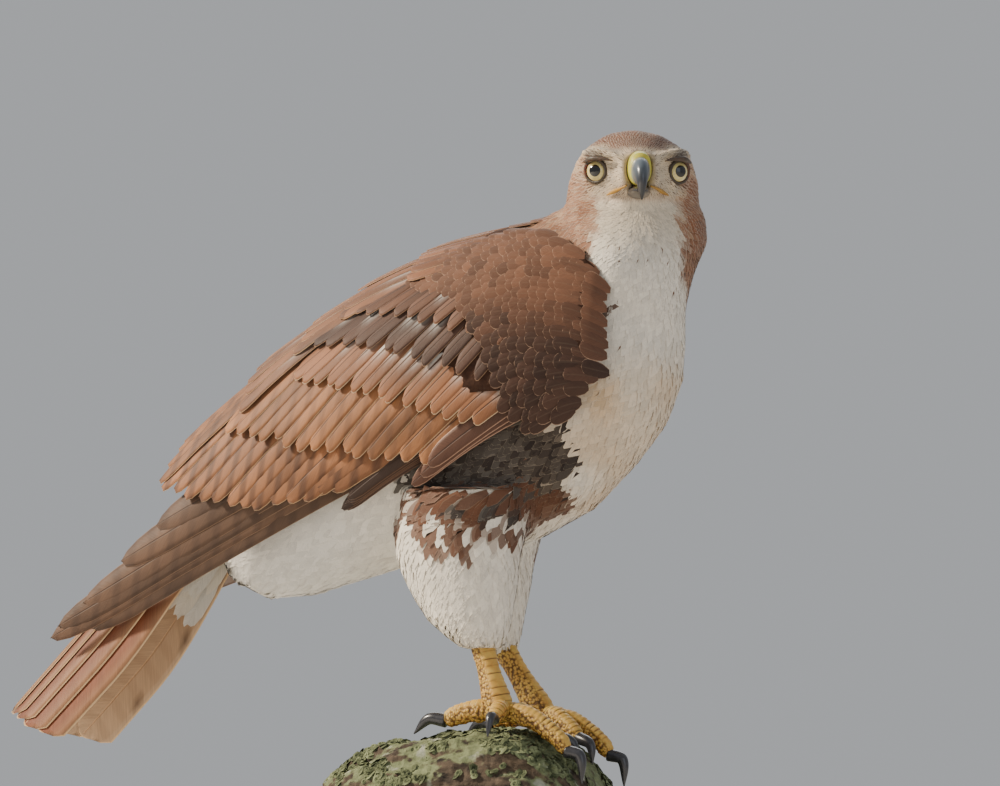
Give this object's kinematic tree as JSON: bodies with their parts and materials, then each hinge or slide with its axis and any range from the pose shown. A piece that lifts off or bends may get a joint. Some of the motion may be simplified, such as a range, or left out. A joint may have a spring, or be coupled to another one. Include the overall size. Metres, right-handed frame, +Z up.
{
  "type": "red-tailed hawk model",
  "caption": "Life-size still model of a perched red-tailed hawk looking over its shoulder, gripping a cut length of branch held above a flat display base by short rods.",
  "frame": {"origin": "centre of the stand base's underside", "axes": "+X towards the bird's breast, away from its tail; +Y to the bird's left; +Z up"},
  "size_m": [0.4576, 0.17, 0.4825],
  "materials": {
    "brown_plumage": "soft, layered feathers with pale edges",
    "cream_plumage": "soft cream feathers with dark streaks",
    "rufous_tail": "cinnamon feathers with cream edges",
    "face_plumage": "fine short feathers",
    "eye": "wet gloss, pale yellow iris",
    "cere": "waxy yellow-green skin",
    "horn": "smooth dark horn",
    "foot_skin": "scaled yellow skin",
    "bark": "rough bark with lichen and moss",
    "walnut": "satin varnish",
    "steel": "brushed"
  },
  "bodies": {
    "root": {"bill_lower": "horn", "bill_upper": "horn", "cere": "cere", "claw_hallux_left": "horn", "claw_hallux_right": "horn", "claw_inner_left": "horn", "claw_inner_right": "horn", "claw_middle_left": "horn", "claw_middle_right": "horn", "claw_outer_left": "horn", "claw_outer_right": "horn", "eye_left": "eye", "eye_right": "eye", "head": "face_plumage", "neck": "cream_plumage", "perch": "bark", "stand_base": "walnut", "stand_rod_1": "steel", "stand_rod_2": "steel", "tail": "rufous_tail", "tarsus_left": "foot_skin", "tarsus_right": "foot_skin", "thigh_left": "cream_plumage", "thigh_right": "cream_plumage", "toe_hallux_left": "foot_skin", "toe_hallux_right": "foot_skin", "toe_inner_left": "foot_skin", "toe_inner_right": "foot_skin", "toe_middle_left": "foot_skin", "toe_middle_right": "foot_skin", "toe_outer_left": "foot_skin", "toe_outer_right": "foot_skin", "torso": "cream_plumage", "wing_left": "brown_plumage", "wing_right": "brown_plumage"}
  },
  "joints": []
}
